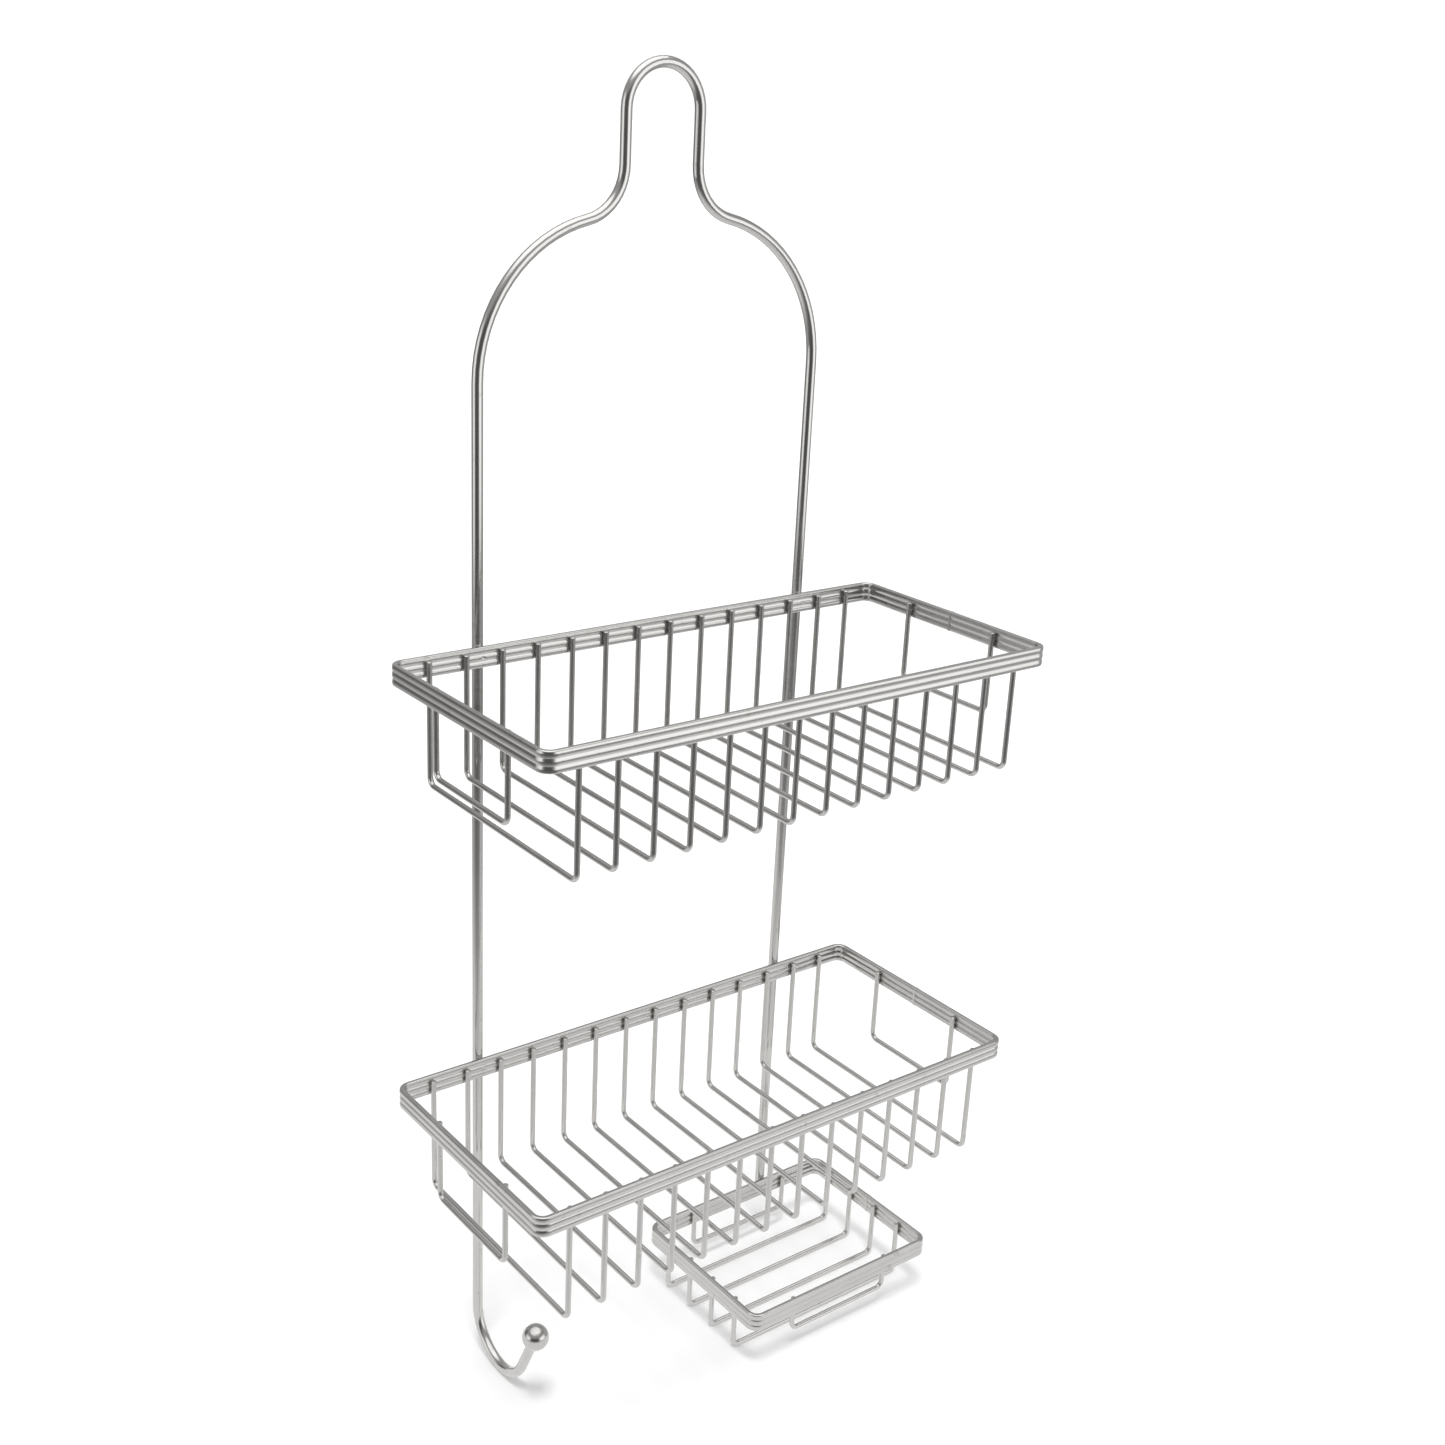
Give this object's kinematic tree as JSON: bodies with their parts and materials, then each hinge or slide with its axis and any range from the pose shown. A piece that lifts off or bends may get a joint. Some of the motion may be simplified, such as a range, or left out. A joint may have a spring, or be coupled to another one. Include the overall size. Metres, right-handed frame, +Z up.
{
  "type": "shower caddy",
  "caption": "Hanging wire caddy: a looped hanger frame carrying two baskets with fluted rims, a low soap dish and a ball-tipped hook.",
  "frame": {"origin": "the point the caddy hangs from: the underside of the wire at the crown of the hanging loop", "axes": "+X to the user's right along the baskets, +Y into the wall, +Z up; the front faces -Y"},
  "size_m": [0.3002, 0.1435, 0.6825],
  "materials": {
    "hanger_wire": "satin",
    "ball": "satin",
    "rim_strip": "satin",
    "basket_wire": "satin"
  },
  "bodies": {
    "root": {"hanger_frame": "hanger_wire", "hook_ball": "ball", "upper_basket_rim": "rim_strip", "upper_basket_cross_wire_01": "basket_wire", "upper_basket_cross_wire_02": "basket_wire", "upper_basket_cross_wire_03": "basket_wire", "upper_basket_cross_wire_04": "basket_wire", "upper_basket_cross_wire_05": "basket_wire", "upper_basket_cross_wire_06": "basket_wire", "upper_basket_cross_wire_07": "basket_wire", "upper_basket_cross_wire_08": "basket_wire", "upper_basket_cross_wire_09": "basket_wire", "upper_basket_cross_wire_10": "basket_wire", "upper_basket_cross_wire_11": "basket_wire", "upper_basket_cross_wire_12": "basket_wire", "upper_basket_cross_wire_13": "basket_wire", "upper_basket_cross_wire_14": "basket_wire", "upper_basket_left_end_guard": "basket_wire", "upper_basket_right_end_guard": "basket_wire", "lower_basket_rim": "rim_strip", "lower_basket_cross_wire_01": "basket_wire", "lower_basket_cross_wire_02": "basket_wire", "lower_basket_cross_wire_03": "basket_wire", "lower_basket_cross_wire_04": "basket_wire", "lower_basket_cross_wire_05": "basket_wire", "lower_basket_cross_wire_06": "basket_wire", "lower_basket_cross_wire_07": "basket_wire", "lower_basket_cross_wire_08": "basket_wire", "lower_basket_cross_wire_09": "basket_wire", "lower_basket_cross_wire_10": "basket_wire", "lower_basket_cross_wire_11": "basket_wire", "lower_basket_cross_wire_12": "basket_wire", "lower_basket_cross_wire_13": "basket_wire", "lower_basket_cross_wire_14": "basket_wire", "lower_basket_left_end_guard": "basket_wire", "lower_basket_right_end_guard": "basket_wire", "soap_dish_rim": "rim_strip", "soap_dish_floor_wire_1": "basket_wire", "soap_dish_floor_wire_2": "basket_wire", "soap_dish_floor_wire_3": "basket_wire", "soap_dish_floor_wire_4": "basket_wire", "soap_dish_rear_guard": "basket_wire", "soap_dish_front_guard": "basket_wire"}
  },
  "joints": []
}
